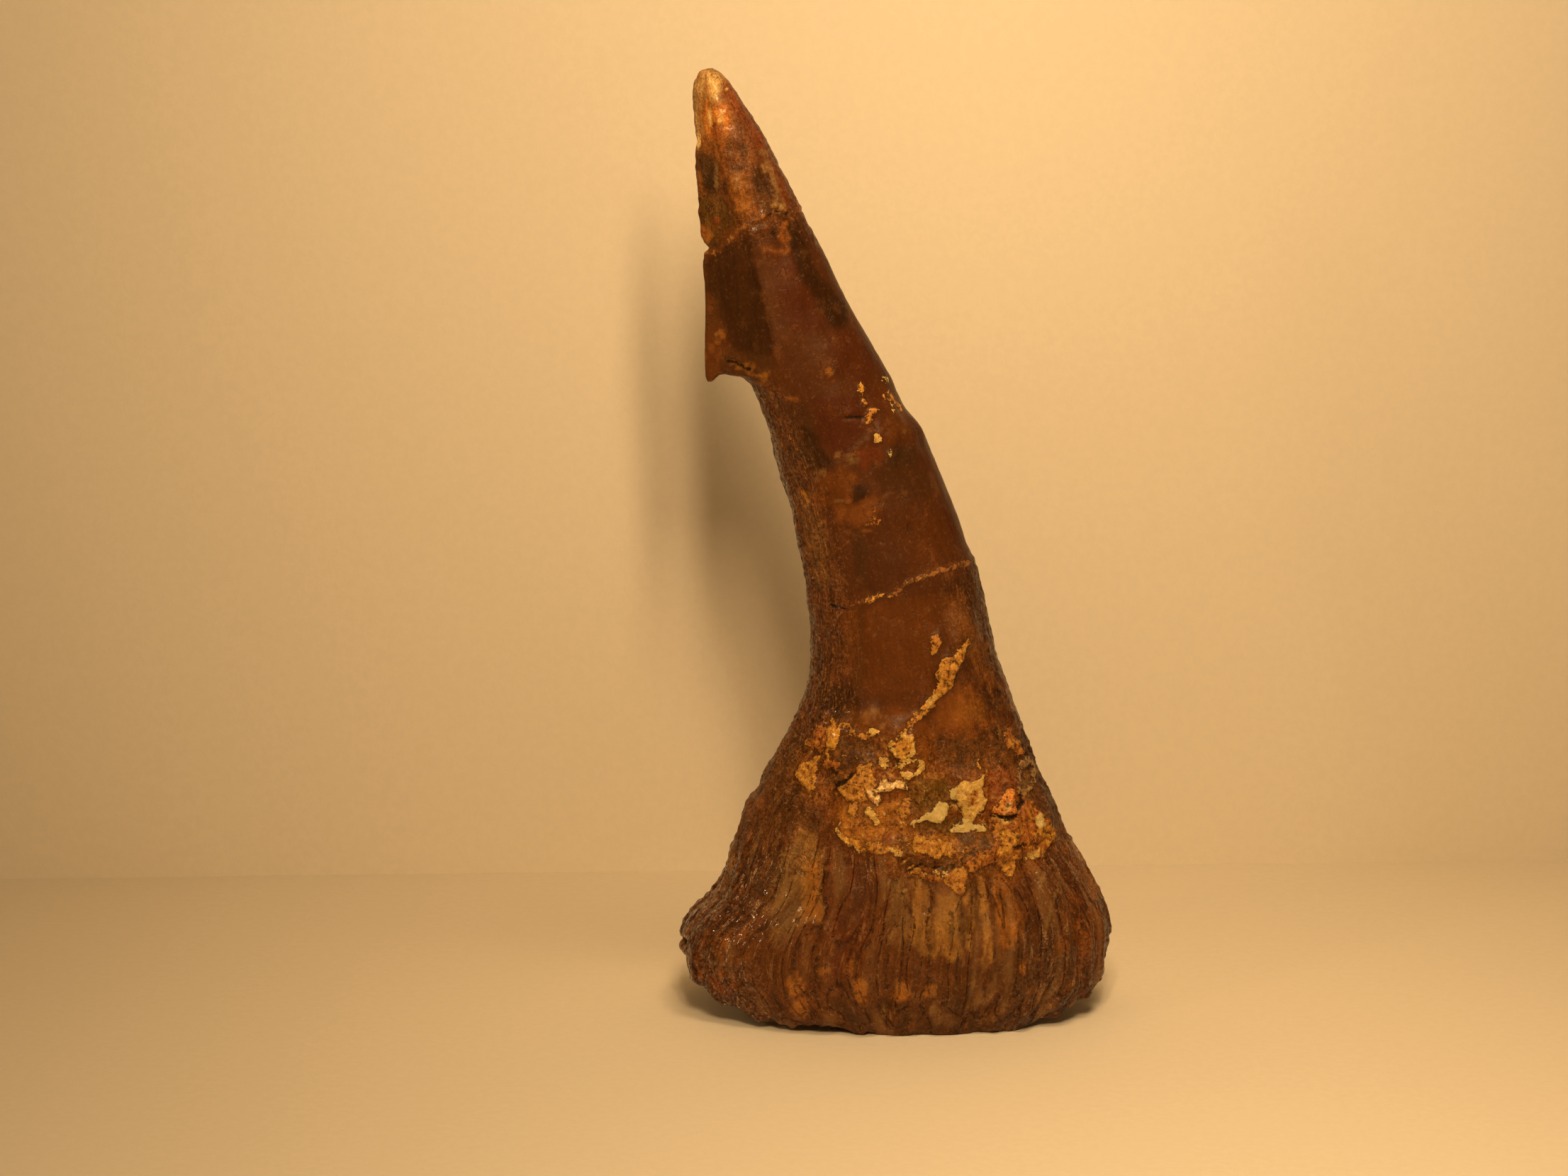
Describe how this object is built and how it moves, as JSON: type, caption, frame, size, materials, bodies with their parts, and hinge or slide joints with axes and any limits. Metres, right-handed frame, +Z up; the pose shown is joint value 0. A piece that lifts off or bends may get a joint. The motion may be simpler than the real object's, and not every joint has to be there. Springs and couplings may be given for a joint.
{
  "type": "fossil sawfish rostral spine",
  "caption": "Fossil rostral spine of an extinct sawfish: a curved, barbed, enamel-capped tooth on a flared, ridged root, with mineral crust fused to it. It stands on its root.",
  "frame": {"origin": "on the surface that the root stands on, under the middle of the spine's box", "axes": "+Z up, from the root to the tip; the broad front face looks along -Y; the barb is on the -X edge and the plain, convex edge on +X"},
  "size_m": [0.032, 0.0182, 0.069],
  "materials": {
    "fossil_bone": "satin, dark red-brown with ochre crust, tan streaks and a pale tip"
  },
  "bodies": {
    "root": {"rostral_spine": "fossil_bone"}
  },
  "joints": []
}
